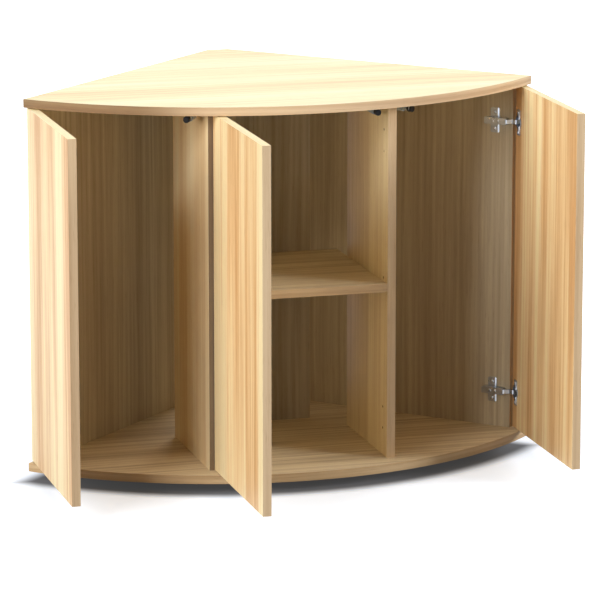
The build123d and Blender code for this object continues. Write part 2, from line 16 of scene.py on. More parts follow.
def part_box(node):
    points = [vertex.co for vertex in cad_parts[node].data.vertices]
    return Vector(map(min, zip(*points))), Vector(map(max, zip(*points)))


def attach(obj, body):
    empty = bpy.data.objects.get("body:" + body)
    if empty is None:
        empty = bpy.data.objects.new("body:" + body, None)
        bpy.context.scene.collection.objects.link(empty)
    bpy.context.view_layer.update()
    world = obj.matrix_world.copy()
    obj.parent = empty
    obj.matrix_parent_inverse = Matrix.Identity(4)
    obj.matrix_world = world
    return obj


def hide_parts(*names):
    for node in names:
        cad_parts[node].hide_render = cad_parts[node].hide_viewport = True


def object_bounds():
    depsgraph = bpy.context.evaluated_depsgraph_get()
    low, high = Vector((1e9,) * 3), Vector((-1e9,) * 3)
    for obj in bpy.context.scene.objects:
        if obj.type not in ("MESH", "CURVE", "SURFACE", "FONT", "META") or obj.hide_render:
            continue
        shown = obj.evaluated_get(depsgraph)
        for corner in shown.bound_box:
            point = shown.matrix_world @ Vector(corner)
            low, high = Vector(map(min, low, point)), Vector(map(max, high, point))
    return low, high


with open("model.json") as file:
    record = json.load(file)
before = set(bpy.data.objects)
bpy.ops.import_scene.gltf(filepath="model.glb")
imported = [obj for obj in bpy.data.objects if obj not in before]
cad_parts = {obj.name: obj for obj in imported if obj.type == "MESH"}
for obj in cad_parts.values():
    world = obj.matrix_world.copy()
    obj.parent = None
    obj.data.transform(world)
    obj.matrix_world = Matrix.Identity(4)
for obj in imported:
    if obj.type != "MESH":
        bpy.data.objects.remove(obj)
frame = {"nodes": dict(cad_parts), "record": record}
cad_box = [list(corner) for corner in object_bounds()]
nodes = frame["nodes"]
behaviour = frame["record"]["behaviour"]
body_of = {name: body for body, names in behaviour["bodies"].items() for name in names}
slot_of = {part["node"]: part["material_slot"] for part in frame["record"]["subparts"]}
print("nodes:", len(nodes), "box in metres:", cad_box)

# %% [markdown]
# ## Placing shader nodes
#
# A material is a small graph. Written out in full, most of its lines would only place a node and join
# two sockets, so short helpers do that. A setting that is not an attribute of the node is one of its
# inputs, and gets either a plain value or a link from another node's output.

# %% Helpers for shader graphs
def set_inputs(tree, node, **settings):
    """Gives inputs a value or a link. Their names have _ for a space; _3 is the input at index 3."""
    for key, value in settings.items():
        name = int(key[1:]) if key[0] == "_" else key.replace("_", " ")
        if isinstance(value, bpy.types.NodeSocket):
            tree.links.new(value, node.inputs[name])
        else:
            node.inputs[name].default_value = value


def add_node(tree, kind, place, **settings):
    """Adds a node. Each setting is one of its attributes, or an input given a value or a link."""
    node = tree.nodes.new(kind)
    node.location = place
    for key, value in settings.items():
        if key in node.bl_rna.properties:
            setattr(node, key, value)
        else:
            set_inputs(tree, node, **{key: value})
    return node


def math_node(tree, operation, place, first, second=0.0, third=0.0, clamp=False):
    """One sum on values or links; returns its result."""
    return add_node(tree, "ShaderNodeMath", place, operation=operation, use_clamp=clamp,
                    _0=first, _1=second, _2=third).outputs[0]


def vector_node(tree, operation, place, first, second):
    """One sum on two vectors; returns its result."""
    return add_node(tree, "ShaderNodeVectorMath", place, operation=operation,
                    _0=first, _1=second).outputs["Vector"]


def blend(tree, place, share, first, second, how="MIX"):
    """Mixes two colours; returns the result."""
    return add_node(tree, "ShaderNodeMix", place, data_type="RGBA", blend_type=how,
                    _0=share, _6=first, _7=second).outputs[2]


def ramp(tree, place, value, start, end, low=0.0, high=1.0, kind="LINEAR"):
    """Takes a value that runs from start to end to one that runs from low to high."""
    return add_node(tree, "ShaderNodeMapRange", place, interpolation_type=kind, Value=value,
                    _1=start, _2=end, _3=low, _4=high).outputs["Result"]


print("graph helpers ready")

# %% Helpers for node groups
def new_group(name, inputs, outputs):
    """An empty shader node group with named sockets, each given as (kind, name, start value)."""
    tree = bpy.data.node_groups.new(name, "ShaderNodeTree")
    for direction, sockets in (("INPUT", inputs), ("OUTPUT", outputs)):
        for kind, label, start in sockets:
            socket = tree.interface.new_socket(label, in_out=direction,
                                               socket_type=f"NodeSocket{kind}")
            if start is not None:
                socket.default_value = start
    entry = add_node(tree, "NodeGroupInput", (-1400, 0))
    leave = add_node(tree, "NodeGroupOutput", (1200, 0))
    return tree, entry.outputs, leave


print("group helper ready")

# %% [markdown]
# ## One wood grain for every board
#
# The boards are chipboard under a printed beech film. The eye tells three layers apart in such a print:
# broad soft stripes where the tone of the wood changes, finer streaks within them, and short dark
# pores. All three are the same noise drawn out along the grain, so a single node group makes them and
# each material gives it its own tones. The grain runs along Z inside the group; where a board's grain
# runs another way, its material turns the coordinates before they go in.

# %% Build the grain group
# How often the stripes sway in a metre, and how far.
sway_scale, sway = 2.4, 0.014
# How often the noise changes in a metre across the grain, and how much slower along it.
streak_scale, pore_scale = 110.0, 850.0
stripe_pull, streak_pull, pore_pull = 0.030, 0.015, 0.030
tone_spread = 2.6
# The part of the noise that counts as a pore.
pore_start, pore_full = 0.60, 0.74


def build_grain():
    """Broad stripes, fine streaks and pores along Z, in three tones."""
    tree, given, result = new_group(
        "printed_grain",
        [("Vector", "Place", None), ("Float", "Stripes", 16.0), ("Float", "Broad", 1.0),
         ("Float", "Fine", 0.5), ("Color", "Dark tone", None), ("Color", "Middle tone", None),
         ("Color", "Light tone", None)],
        [("Color", "Tone", None), ("Float", "Streaks", None), ("Float", "Pores", None)])

    drift = add_node(tree, "ShaderNodeTexNoise", (-1150, -300), Vector=given["Place"],
                     Scale=sway_scale, Detail=1.0).outputs["Color"]
    centred = vector_node(tree, "SUBTRACT", (-950, -300), drift, (0.5, 0.5, 0.5))
    sideways = vector_node(tree, "MULTIPLY", (-780, -300), centred, (sway, sway, 0.0))
    place = vector_node(tree, "ADD", (-600, -200), given["Place"], sideways)

    def drawn_out(height, pull, detail, scale):
        """Noise stretched along Z; scale is how often it changes in a metre across the grain."""
        stretch = vector_node(tree, "MULTIPLY", (-400, height), place, (1.0, 1.0, pull))
        return add_node(tree, "ShaderNodeTexNoise", (-200, height), Vector=stretch, Scale=scale,
                        Detail=detail, Roughness=0.55).outputs["Fac"]

    stripes = drawn_out(300, stripe_pull, 1.5, given["Stripes"])
    streaks = drawn_out(50, streak_pull, 3.0, streak_scale)
    pores = drawn_out(-200, pore_pull, 2.0, pore_scale)

    about_stripes = math_node(tree, "SUBTRACT", (0, 300), stripes, 0.5)
    about_streaks = math_node(tree, "SUBTRACT", (0, 100), streaks, 0.5)
    broad = math_node(tree, "MULTIPLY", (180, 300), about_stripes, given["Broad"])
    both = math_node(tree, "MULTIPLY_ADD", (360, 200), about_streaks, given["Fine"], broad)
    level = math_node(tree, "MULTIPLY_ADD", (540, 200), both, tone_spread, 0.5, clamp=True)
    below = ramp(tree, (700, 100), level, 0.0, 0.5)
    above = ramp(tree, (700, -150), level, 0.5, 1.0)
    darker = blend(tree, (860, 100), below, given["Dark tone"], given["Middle tone"])
    tone_found = blend(tree, (1020, 0), above, darker, given["Light tone"])
    pore_mask = ramp(tree, (50, -200), pores, pore_start, pore_full)
    set_inputs(tree, result, Tone=tone_found, Streaks=streaks, Pores=pore_mask)
    return tree


grain = build_grain()
print("grain group:", len(grain.nodes), "nodes")

# %% [markdown]
# ## Handling marks
#
# Plated steel, die-cast zinc and moulded plastic all lose their even shine where hands, drivers and
# boxes have touched them. Cloudy patches change the gloss, and a few fine lines cross them. One group
# gives a cloud mask and a line mask for all of these finishes. The lines are the clouds' noise drawn
# out in two directions, and only its highest part counts.

# %% Build the handling group
line_directions = ((9.0, 1.0, 0.6), (1.2, 0.8, 11.0))
line_start, line_full = 0.62, 0.70


def build_handling():
    """Cloudy patches and fine crossing lines, at a scale given per metre."""
    tree, given, result = new_group(
        "handling_marks", [("Vector", "Place", None), ("Float", "Scale", 60.0)],
        [("Float", "Clouds", None), ("Float", "Lines", None)])
    clouds = add_node(tree, "ShaderNodeTexNoise", (-600, 200), Vector=given["Place"],
                      Scale=given["Scale"], Detail=4.0, Roughness=0.6).outputs["Fac"]
    masks = []
    for index, direction in enumerate(line_directions):
        height = -250 * index
        stretch = vector_node(tree, "MULTIPLY", (-800, height), given["Place"], direction)
        noise = add_node(tree, "ShaderNodeTexNoise", (-600, height), Vector=stretch,
                         Scale=given["Scale"], Detail=2.0).outputs["Fac"]
        masks.append(ramp(tree, (-400, height), noise, line_start, line_full))
    lines = math_node(tree, "MAXIMUM", (-200, -100), *masks)
    set_inputs(tree, result, Clouds=clouds, Lines=lines)
    return tree


handling = build_handling()
print("handling group:", len(handling.nodes), "nodes")

# %% [markdown]
# ## Finishes of the boards
#
# A board shows up to three surfaces. Its two faces carry the printed film with all its stripes. Its
# edges carry a thin band of the same print, a little plainer. Inside a bored hole there is bare
# chipboard, a felt of glued chips. Tones are given as a paint chart gives them, from 0 to 255, and a
# helper turns them into the linear values that light is worked out with.

# %% Tones and new materials
def tone(red, green, blue):
    """A paint chart's 0 to 255 tone as a linear colour."""
    def linear(value):
        share = value / 255
        return share / 12.92 if share <= 0.04045 else ((share + 0.055) / 1.055) ** 2.4
    return (linear(red), linear(green), linear(blue), 1.0)


def new_material(name):
    """A material with its surface shader, its node tree and the object's own coordinates."""
    material = bpy.data.materials.new(name)
    material.use_nodes = True
    tree = material.node_tree
    tree.nodes.clear()
    output = add_node(tree, "ShaderNodeOutputMaterial", (900, 0))
    surface = add_node(tree, "ShaderNodeBsdfPrincipled", (600, 0))
    tree.links.new(surface.outputs["BSDF"], output.inputs["Surface"])
    place = add_node(tree, "ShaderNodeTexCoord", (-1000, 0)).outputs["Object"]
    return material, tree, surface, place


def relief(tree, height, strength, distance):
    """A bump from a height; returns the normal."""
    return add_node(tree, "ShaderNodeBump", (300, -300), Strength=strength, Distance=distance,
                    Height=height).outputs["Normal"]


print("tone of middle grey:", tone(128, 128, 128)[0])

# %% The way the grain runs
turn_to_grain = {"X": (0, pi / 2, 0), "Y": (pi / 2, 0, 0)}
plate_low, plate_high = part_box("base_plate")
half_width, bow_depth = plate_high.x, -plate_low.y
bow_radius = (half_width**2 + bow_depth**2) / (2 * bow_depth)
bow_centre = bow_radius - bow_depth


def along_bow(tree, place):
    """Unrolls a bowed edge: height above the floor first, and the way along the bow last."""
    parts = add_node(tree, "ShaderNodeSeparateXYZ", (-1000, -200), Vector=place).outputs
    ahead = math_node(tree, "SUBTRACT", (-850, -300), bow_centre, parts["Y"])
    angle = math_node(tree, "ARCTAN2", (-700, -250), parts["X"], ahead)
    arc = math_node(tree, "MULTIPLY", (-700, -400), angle, bow_radius)
    unrolled = add_node(tree, "ShaderNodeCombineXYZ", (-600, -200), X=parts["Z"], Z=arc)
    return unrolled.outputs["Vector"]


print("bow radius in metres:", round(bow_radius, 4), "centre:", round(bow_centre, 4))

# %% The printed film
pore_strength, pore_tone = 0.32, tone(168, 122, 82)
streak_roughness, pore_roughness = 0.14, 0.16
film_relief, film_depth = 0.25, 0.0001
# Painted shade: the colour is multiplied with this tone towards one end of a band.
painted_shade_tone = tone(172, 160, 142)


def film(name, dark, middle, light, along="Z", stripes=16.0, broad=1.0, fine=0.5, satin=0.44,
         shine=0.28, painted_shade_from=None):
    """The printed film, or an edge band of it, with its grain along an axis or the bow."""
    material, tree, surface, place = new_material(name)
    if along == "bow":
        place = along_bow(tree, place)
    elif along in turn_to_grain:
        place = add_node(tree, "ShaderNodeMapping", (-800, 0), Vector=place,
                         Rotation=turn_to_grain[along]).outputs["Vector"]
    wood = add_node(tree, "ShaderNodeGroup", (-500, 0), node_tree=grain, Place=place,
                    Stripes=stripes, Broad=broad, Fine=fine, Dark_tone=tone(*dark),
                    Middle_tone=tone(*middle), Light_tone=tone(*light)).outputs
    pored = math_node(tree, "MULTIPLY", (-200, 300), wood["Pores"], pore_strength)
    colour = blend(tree, (0, 150), pored, wood["Tone"], pore_tone, "MULTIPLY")
    # Painted shade: the colour is multiplied darker towards the low end of the way along.
    if painted_shade_from:
        way_along = add_node(tree, "ShaderNodeSeparateXYZ", (-200, 500), Vector=place).outputs["Z"]
        painted_shade_share = ramp(tree, (0, 500), way_along, *painted_shade_from, 1.0, 0.0, "SMOOTHSTEP")
        colour = blend(tree, (200, 300), painted_shade_share, colour, painted_shade_tone, "MULTIPLY")
    gloss = math_node(tree, "MULTIPLY_ADD", (0, -100), wood["Streaks"], streak_roughness,
                      satin - streak_roughness / 2)
    dull = math_node(tree, "MULTIPLY_ADD", (200, -100), wood["Pores"], pore_roughness, gloss)
    height = math_node(tree, "SUBTRACT", (0, -300), wood["Streaks"], wood["Pores"])
    set_inputs(tree, surface, Base_Color=colour, Roughness=dull, Specular_IOR_Level=shine,
               Normal=relief(tree, height, film_relief, film_depth))
    return material


print("a pore takes", pore_strength, "of the way to its own tone")

# %% [markdown]
# ## Tones of the film
#
# The same print comes in several tones. The doors and the walls' outer faces have the warmest film,
# with broad stripes. The plates and the shelf have their grain from side to side. The dividers' film
# lies between the doors' and the lining's, and the bands are a tone browner than the faces. Sheets and
# rolls do differ, but most of these tones are given one by one. A few plain lamps can't light every
# corner as a room does, so the lining and the rear panel are greyer as painted shade and almost without
# shine, the left divider's film is paler as painted light and its band brown as painted shade, and the
# top plate's band has painted shade at its left end. The ends of the upright boards, above and below,
# have the palest band, painted light on the top ends. Dowels are bare wood with the same grain.

# %% Films and bands
# Painted shade: the lining and the rear panel are greyer and darker than the other films.
film_lining_painted_shade = film("film_lining_painted_shade", (182, 166, 139), (201, 187, 160), (218, 207, 179),
                    broad=0.5, fine=0.8, satin=0.6, shine=0.02)
film_rear_painted_shade = film("film_rear_painted_shade", (152, 141, 120), (171, 159, 139), (188, 177, 157), broad=0.5,
                 fine=0.7, satin=0.6, shine=0.05)
film_divider = film("film_divider", (204, 176, 132), (227, 204, 160), (244, 226, 184),
                    broad=0.9, satin=0.5, shine=0.2)
# Painted light: the left divider's film is paler than the right one's.
film_divider_painted_light = film("film_divider_painted_light", (226, 198, 152), (243, 223, 181),
                          (251, 239, 203), broad=0.9, satin=0.5, shine=0.2)
film_door = film("film_door", (216, 167, 112), (241, 204, 150), (253, 232, 182), stripes=15.0,
                 broad=1.45, fine=0.75)
# Painted light from above: the top plate's film is paler than that of the base plate and the shelf.
film_top_painted_light = film("film_top_painted_light", (236, 204, 156), (250, 236, 190), (254, 248, 216), along="X",
                  stripes=9.0, broad=0.5, fine=0.6)
film_base = film("film_base", (194, 171, 135), (224, 204, 169), (243, 227, 193), along="X",
                 stripes=12.0, broad=0.5, fine=0.8, satin=0.5, shine=0.15)
band_upright = film("band_upright", (194, 164, 128), (211, 183, 147), (224, 199, 163),
                    stripes=30.0, broad=0.4, satin=0.7, shine=0.02)
# Painted shade: the band of the left divider, beside the middle door, is brown.
band_painted_shade = film("band_painted_shade", (122, 102, 80), (140, 120, 97), (156, 136, 111),
                  stripes=30.0, broad=0.4, satin=0.7, shine=0.02)
band_level = film("band_level", (174, 140, 100), (198, 166, 124), (214, 186, 144), along="bow",
                  stripes=60.0, broad=0.6, fine=0.8, satin=0.5)
# Painted shade: the top plate's band is darkened towards its left end.
band_top = film("band_top", (183, 150, 113), (206, 175, 138), (220, 193, 156), along="bow",
                stripes=60.0, broad=0.6, fine=0.8, satin=0.5, painted_shade_from=(-0.33, -0.16))
# Painted light: the palest band, on the ends of the upright boards, stands in for light on the top
# ends.
band_ends_painted_light = film("band_ends_painted_light", (234, 206, 156), (247, 228, 180), (253, 241, 201), along="Y",
                 stripes=60.0, broad=0.5, satin=0.5)
raw_beech = film("raw_beech", (176, 128, 84), (196, 150, 104), (212, 168, 120), stripes=120.0,
                 satin=0.6)
print("films and bands:", [material.name for material in bpy.data.materials
                           if material.name.startswith(("film", "band", "raw"))])

# %% Bare chipboard
chip_scale, dust_scale, dust_share = 620.0, 1400.0, 0.4
chip_relief, chip_depth = 0.6, 0.0004


def build_chipboard():
    """Glued chips a millimetre or two long, seen inside the bored holes."""
    material, tree, surface, place = new_material("bare_chipboard")
    chips = add_node(tree, "ShaderNodeTexVoronoi", (-600, 150), Vector=place, Scale=chip_scale)
    dust = add_node(tree, "ShaderNodeTexNoise", (-600, -150), Vector=place, Scale=dust_scale)
    shade = add_node(tree, "ShaderNodeSeparateColor", (-400, 150), Color=chips.outputs["Color"])
    mixed = math_node(tree, "MULTIPLY_ADD", (-200, 0), dust.outputs["Fac"], dust_share,
                      shade.outputs["Red"])
    level = ramp(tree, (0, 0), mixed, 0.2, 1.2)
    colour = blend(tree, (200, 100), level, tone(112, 80, 50), tone(196, 158, 108))
    set_inputs(tree, surface, Base_Color=colour, Roughness=0.85,
               Normal=relief(tree, mixed, chip_relief, chip_depth))
    return material


chipboard = build_chipboard()
print("chipboard:", len(chipboard.node_tree.nodes), "nodes")

# %% [markdown]
# ## Metal and plastic finishes
#
# The hinges are stamped steel under bright nickel, the screws are plainer zinc plate, and the cam locks
# are cast zinc, which is duller and slightly grainy. The latches and feet are moulded plastic. A metal
# gets its look almost wholly from what it reflects, so its roughness matters more than its colour:
# the handling marks raise it in clouds and along fine lines.

# %% Metals
metal_relief = 0.2


def metal(name, colour, stain, rough, rise, scale=60.0, grit=0.00002):
    """A metal finish whose gloss is broken by handling marks."""
    material, tree, surface, place = new_material(name)
    marks = add_node(tree, "ShaderNodeGroup", (-500, 0), node_tree=handling, Place=place,
                     Scale=scale).outputs
    stained = blend(tree, (0, 150), marks["Clouds"], tone(*colour), tone(*stain))
    clouded = math_node(tree, "MULTIPLY_ADD", (0, -100), marks["Clouds"], rise, rough)
    lined = math_node(tree, "MULTIPLY_ADD", (200, -100), marks["Lines"], rise, clouded)
    set_inputs(tree, surface, Base_Color=stained, Roughness=lined, Metallic=1.0,
               Normal=relief(tree, marks["Clouds"], metal_relief, grit))
    return material


nickel = metal("bright_nickel", (208, 215, 224), (142, 149, 158), 0.23, 0.12)
zinc_plate = metal("zinc_plated_steel", (196, 199, 204), (166, 166, 160), 0.24, 0.2)
cast_zinc = metal("cast_zinc", (172, 172, 170), (138, 137, 134), 0.38, 0.2, scale=300.0,
                  grit=0.0001)
spring_steel = metal("spring_steel", (170, 172, 176), (120, 118, 114), 0.22, 0.18)
print("metals:", nickel.name, zinc_plate.name, cast_zinc.name, spring_steel.name)

# %% Mouldings
moulding_scale, skin_scale = 90.0, 2600.0
skin_relief, skin_depth = 0.3, 0.00008
line_wear, cloud_roughness = 0.35, 0.2


def moulding(name, colour, worn, rough, shine=0.5):
    """A moulded plastic or rubber with a finely eroded skin, paler where it is handled."""
    material, tree, surface, place = new_material(name)
    marks = add_node(tree, "ShaderNodeGroup", (-500, 0), node_tree=handling, Place=place,
                     Scale=moulding_scale).outputs
    skin = add_node(tree, "ShaderNodeTexNoise", (-500, -300), Vector=place, Scale=skin_scale,
                    Detail=2.0).outputs["Fac"]
    wear = math_node(tree, "MULTIPLY_ADD", (-200, 150), marks["Lines"], line_wear, marks["Clouds"])
    gloss = math_node(tree, "MULTIPLY_ADD", (0, -100), marks["Clouds"], cloud_roughness,
                      rough - cloud_roughness / 2)
    set_inputs(tree, surface, Base_Color=blend(tree, (0, 150), wear, tone(*colour), tone(*worn)),
               Roughness=gloss, Specular_IOR_Level=shine,
               Normal=relief(tree, skin, skin_relief, skin_depth))
    return material


grey_moulding = moulding("grey_moulding", (146, 158, 166), (166, 177, 184), 0.38)
pale_moulding = moulding("pale_moulding", (214, 216, 218), (226, 228, 229), 0.3)
black_moulding = moulding("black_moulding", (22, 22, 23), (38, 38, 39), 0.4, shine=0.3)
black_rubber = moulding("black_rubber", (16, 16, 18), (30, 31, 34), 0.34, shine=0.14)
print("materials, with the packed ones:", len(bpy.data.materials))

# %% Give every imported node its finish
finish_of_slot = {
    "laminated_board": film_lining_painted_shade, "edge_band": band_level, "foot_plastic": black_moulding,
    "dowel_wood": raw_beech, "zinc_casting": cast_zinc, "plated_steel": zinc_plate,
    "nickel_plate": nickel, "dark_rubber": black_rubber, "grey_plastic": grey_moulding,
}
finish_of_node = {name: film_door if name.endswith("_door") else finish_of_slot[slot_of[name]]
                  for name in nodes}
finish_of_node.update(top_plate=film_top_painted_light, base_plate=film_base, shelf=film_base,
                      rear_panel=film_rear_painted_shade, left_divider=film_divider_painted_light,
                      right_divider=film_divider, top_edge_band=band_top,
                      latch_springs=spring_steel)
for name, node in nodes.items():
    node.data.materials.clear()
    node.data.materials.append(finish_of_node[name])
print("nodes with a finish:", sum(1 for node in nodes.values() if node.data.materials))

# %% [markdown]
# ## Softening the boards
#
# No real board has a razor edge: the trimmer breaks it by about half a millimetre, and that narrow
# chamfer is what catches the light along every edge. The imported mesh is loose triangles, so a copy is
# welded and its flat triangles are joined into whole faces, and then a Bevel modifier has real edges
# to work on. The bevel could be typed in by hand on each edge, but the modifier finds all edges
# sharper than an angle, also round the bored holes.

# %% Helpers for copies
weld_distance, flat_angle, round_angle = 0.000004, radians(0.4), radians(30)


def only(piece):
    """Makes one piece the only selected and active one."""
    for item in bpy.context.selected_objects:
        item.select_set(False)
    piece.select_set(True)
    bpy.context.view_layer.objects.active = piece


def placed_copy(source, name, place=None):
    """A copy with a mesh of its own, its place written into the mesh."""
    piece = bpy.data.objects.new(name, source.data.copy())
    bpy.context.scene.collection.objects.link(piece)
    if place is not None:
        piece.data.transform(place)
    return piece


def welded_copy(name, ending):
    """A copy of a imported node's mesh, with its triangles joined into whole faces."""
    piece = placed_copy(nodes[name], f"{name}_{ending}")
    only(piece)
    bpy.ops.object.mode_set(mode="EDIT")
    bpy.ops.mesh.select_all(action="SELECT")
    bpy.ops.mesh.customdata_custom_splitnormals_clear()
    bpy.ops.mesh.remove_doubles(threshold=weld_distance)
    bpy.ops.mesh.dissolve_limited(angle_limit=flat_angle, delimit=set())
    bpy.ops.object.mode_set(mode="OBJECT")
    return piece


def middle_of(low, high):
    """The middle of a box, given by its lowest and highest corner."""
    return (Vector(low) + Vector(high)) / 2


def discard(pieces):
    """Removes helper objects together with their meshes."""
    for mesh in [item.data for item in pieces]:
        bpy.data.meshes.remove(mesh)


print("flat within", round(flat_angle, 4), "rad, round within", round(round_angle, 4), "rad")

# %% Helpers for finishing a mesh
def apply_modifiers(piece):
    """Turns the piece's modifiers into mesh."""
    only(piece)
    for modifier in list(piece.modifiers):
        bpy.ops.object.modifier_apply(modifier=modifier.name)


def soften(piece, width, segments=2, sharper_than=40.0):
    """Breaks the piece's sharp edges and shades what is round as round."""
    edge = piece.modifiers.new("broken_edge", "BEVEL")
    edge.width = width
    edge.segments = segments
    edge.limit_method = "ANGLE"
    edge.angle_limit = radians(sharper_than)
    edge.use_clamp_overlap = True
    apply_modifiers(piece)
    bpy.ops.object.shade_smooth_by_angle(angle=round_angle)
    even = piece.modifiers.new("even_faces", "WEIGHTED_NORMAL")
    even.weight = 100
    even.keep_sharp = True
    apply_modifiers(piece)


def stand_in(piece, name):
    """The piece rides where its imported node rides, and is shown in its place."""
    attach(piece, body_of[name])
    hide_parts(name)


print("finishing helpers ready")

# %% [markdown]
# ## Film, bands and bare holes
#
# The faces of a board are sorted by where they look and how far they reach: film goes on the two broad
# faces, a band on the edges that span the whole thickness, and bare chipboard inside the holes. Walls
# and the rear panel have a greyer lining towards the inside, which is painted shade, and the doors'
# film towards the room.

# %% Soften every board
board_edge, face_slack = 0.0005, 0.0002
faces_along, whole_span = 0.9, 0.95
diagonal = 1 / sqrt(2)
backs = ("left_wall", "right_wall", "rear_panel")
broad_way = {"left_wall": (-diagonal, diagonal, 0), "right_wall": (diagonal, diagonal, 0),
             "left_divider": (1, 0, 0), "right_divider": (1, 0, 0), "rear_panel": (0, 1, 0),
             "left_door": (1, 0, 0), "middle_door": (1, 0, 0), "right_door": (1, 0, 0),
             "top_plate": (0, 0, 1), "base_plate": (0, 0, 1), "shelf": (0, 0, 1)}
# The places of a board's five materials in its list.
on_face, on_edge, in_hole, on_end, on_back = range(5)


def dress_board(name):
    """A board with broken edges, film on its faces, bands on its edges and bare holes."""
    piece = welded_copy(name, "board")
    across = Vector(broad_way[name])
    level = abs(across.z) > 0.5
    # The left divider gets the brown band, which is painted shade.
    edge_band = band_level if level else band_painted_shade if name == "left_divider" else band_upright
    piece.data.materials.clear()
    for material in (finish_of_node[name], edge_band, chipboard, band_ends_painted_light, film_door):
        piece.data.materials.append(material)
    points = piece.data.vertices
    reach = [across.dot(point.co) for point in points]
    low, high = min(reach), max(reach)

    for face in piece.data.polygons:
        depth = across.dot(face.center)
        if abs(across.dot(face.normal)) > faces_along:
            is_film = min(depth - low, high - depth) < face_slack
            faces_room = name in backs and high - depth < face_slack
            face.material_index = on_back if faces_room else on_face if is_film else in_hole
        else:
            depths = [across.dot(points[index].co) for index in face.vertices]
            spans_board = max(depths) - min(depths) > whole_span * (high - low)
            band = on_end if abs(face.normal.z) > faces_along else on_edge
            face.material_index = band if spans_board else in_hole
    soften(piece, board_edge)
    stand_in(piece, name)
    return piece


boards = [dress_board(name) for name in broad_way]
print("boards:", {piece.name: len(piece.data.polygons) for piece in boards})

# %% [markdown]
# ## Hinges and latches
#
# A concealed hinge is stamped from steel strip: the shear leaves one edge rounded, and every bend has a
# radius. Those small radii are what glints, so each stamping gets a welded copy with its sharp edges
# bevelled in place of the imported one, an arm's by over a millimetre and a cup's by half as much. The
# latches are moulded, and the bands of the two bowed fronts are trimmed by hand with a file. Their
# edges are finer.

# %% Soften the fittings and edge bands
rounding = {"_hinge_cup": 0.0006, "_hinge_arm": 0.0012, "_latch_plunger": 0.0004,
            "_latch_holder": 0.0004, "_edge_band": 0.0004, "shelf_pins": 0.0005}


def soften_fitting(name, width, segments=2):
    """A fitting's welded copy with its sharp edges rounded."""
    piece = welded_copy(name, "finish")
    piece.data.materials.clear()
    piece.data.materials.append(finish_of_node[name])
    soften(piece, width, segments)
    stand_in(piece, name)
    return piece


fittings = {}
for name in nodes:
    for ending, width in rounding.items():
        if name.endswith(ending):
            fittings[name] = soften_fitting(name, width, segments=3)
print("softened:", {name: len(piece.data.polygons) for name, piece in fittings.items()})

# %% [markdown]
# ## The push latches
#
# Each latch is a black rubber tip on a pale plunger, in a grey cartridge whose collar is black. The
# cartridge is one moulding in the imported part, so its copy gets two finishes: the faces that stand
# further from the axis than the cartridge's own wall are the collar. The axis comes from the record.

# %% Tips and cartridges
tip_edge, cartridge_edge = 0.0008, 0.0004
cartridge_wall = 0.0053
slide_way = {joint["name"].split("_")[0]: Vector(joint["axis"])
             for joint in behaviour["joints"] if joint["type"] == "slide"}


def from_axis(point, centre, way):
    """How far a point stands from the line through a centre."""
    offset = Vector(point) - centre
    return (offset - way * offset.dot(way)).length


for side, way in slide_way.items():
    fittings[f"{side}_latch_plunger"].data.materials[0] = pale_moulding
    soften_fitting(f"{side}_latch_tip", tip_edge, segments=3)
    cartridge = soften_fitting(f"{side}_latch_cartridge", cartridge_edge)
    cartridge.data.materials.append(black_moulding)
    centre = middle_of(*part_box(f"{side}_latch_tip"))
    for face in cartridge.data.polygons:
        reach = max(from_axis(cartridge.data.vertices[index].co, centre, way)
                    for index in face.vertices)
        face.material_index = 1 if reach > cartridge_wall else 0
print("latches:", list(slide_way))

# %% [markdown]
# ## Turning round pieces
#
# A screw or a foot is a turned shape. It could be a profile spun about an axis, but a stack of rings is
# easier to read: a filled circle is extruded from ring to ring and each new ring is scaled to its
# radius, the way a potter raises a wall. The list of rings is then the drawing of the piece.

# %% Turn a piece from rings
def turn(name, rings, sides=32):
    """A closed round piece about Z; rings are (radius, height) from one end to the other."""
    bpy.ops.object.select_all(action="DESELECT")
    (radius, height), *rest = rings
    bpy.ops.mesh.primitive_circle_add(vertices=sides, radius=radius, fill_type="NGON",
                                      location=(0, 0, height))
    piece = bpy.context.object
    piece.name = name
    bpy.ops.object.transform_apply(location=True, rotation=True, scale=True)
    bpy.ops.object.mode_set(mode="EDIT")
    bpy.ops.mesh.select_all(action="SELECT")
    for next_radius, next_height in rest:
        bpy.ops.mesh.extrude_region_move(
            TRANSFORM_OT_translate={"value": (0, 0, next_height - height)})
        share = next_radius / radius
        bpy.ops.transform.resize(value=(share, share, 1), center_override=(0, 0, next_height))
        radius, height = next_radius, next_height
    bpy.ops.mesh.select_all(action="SELECT")
    bpy.ops.mesh.normals_make_consistent(inside=False)
    bpy.ops.object.mode_set(mode="OBJECT")
    bpy.ops.object.shade_smooth_by_angle(angle=round_angle)
    return piece


print("turning ready")

# %% [markdown]
# ## Selecting and joining
#
# In edit mode an operator works on what is selected, so one helper opens a piece with just the faces,
# edges or points selected that pass a test. Solids are joined in two ways. A Boolean modifier makes one
# skin of two solids or takes one out of the other, as welding and drilling do. The join operator only
# puts copies into one object, which is enough for screws that don't touch.

# %% Helpers for solids
def pick(piece, kind, wanted):
    """Opens a piece in edit mode with just the FACE, EDGE or VERT items that pass a test."""
    bpy.ops.object.mode_set(mode="OBJECT")
    only(piece)
    bpy.ops.object.mode_set(mode="EDIT")
    bpy.ops.mesh.select_mode(type=kind)
    bpy.ops.mesh.select_all(action="DESELECT")
    bpy.ops.object.mode_set(mode="OBJECT")
    mesh = piece.data
    for item in {"FACE": mesh.polygons, "EDGE": mesh.edges, "VERT": mesh.vertices}[kind]:
        item.select = wanted(item)
    bpy.ops.object.mode_set(mode="EDIT")


def combine(piece, other, operation):
    """Welds another solid to the piece, or cuts it out, and removes the other."""
    step = piece.modifiers.new("combine", "BOOLEAN")
    step.operation = operation
    step.object = other
    apply_modifiers(piece)
    discard([other])


